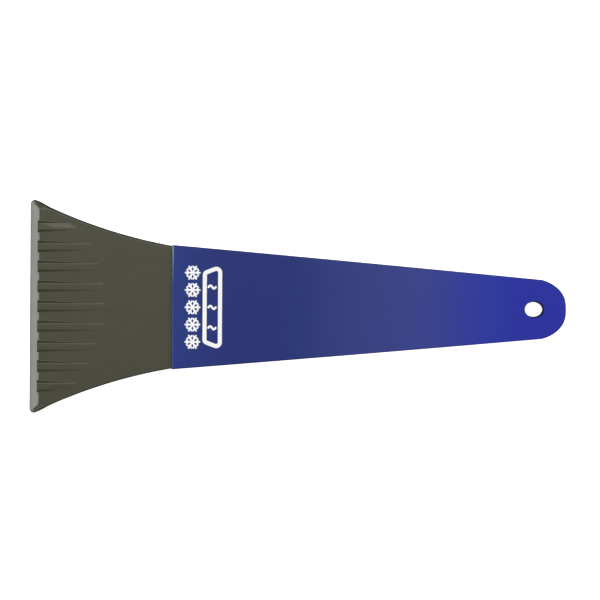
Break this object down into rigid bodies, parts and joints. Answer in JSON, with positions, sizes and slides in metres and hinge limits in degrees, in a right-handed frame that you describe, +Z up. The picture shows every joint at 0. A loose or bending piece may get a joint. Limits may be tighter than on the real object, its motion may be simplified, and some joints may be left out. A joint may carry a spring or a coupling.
{
  "type": "windshield ice scraper",
  "caption": "Flat hand-held ice scraper with a flared ribbed plastic head, a bevelled edge and a hollow tapered two-cover handle with a hang hole.",
  "frame": {"origin": "centre of the bounding box's base: the scraper lies on its back, on the handle's flat back cover", "axes": "+X along the scraper from the scraping edge to the hang hole, +Y across it, +Z up out of the ribbed front face"},
  "size_m": [0.277, 0.11, 0.011],
  "materials": {
    "smoke_plastic": "satin moulded, smoke olive",
    "blue_plastic": "satin moulded, navy shading to royal blue",
    "blue_plastic_back": "fine grained moulded",
    "zinc_steel": "zinc plated",
    "white_ink": "pad-printed ink"
  },
  "bodies": {
    "root": {"scraper_head": "smoke_plastic", "handle_front_cover": "blue_plastic", "handle_back_cover": "blue_plastic_back", "handle_screw_1": "zinc_steel", "handle_screw_2": "zinc_steel", "handle_screw_3": "zinc_steel", "handle_screw_4": "zinc_steel"}
  },
  "joints": []
}
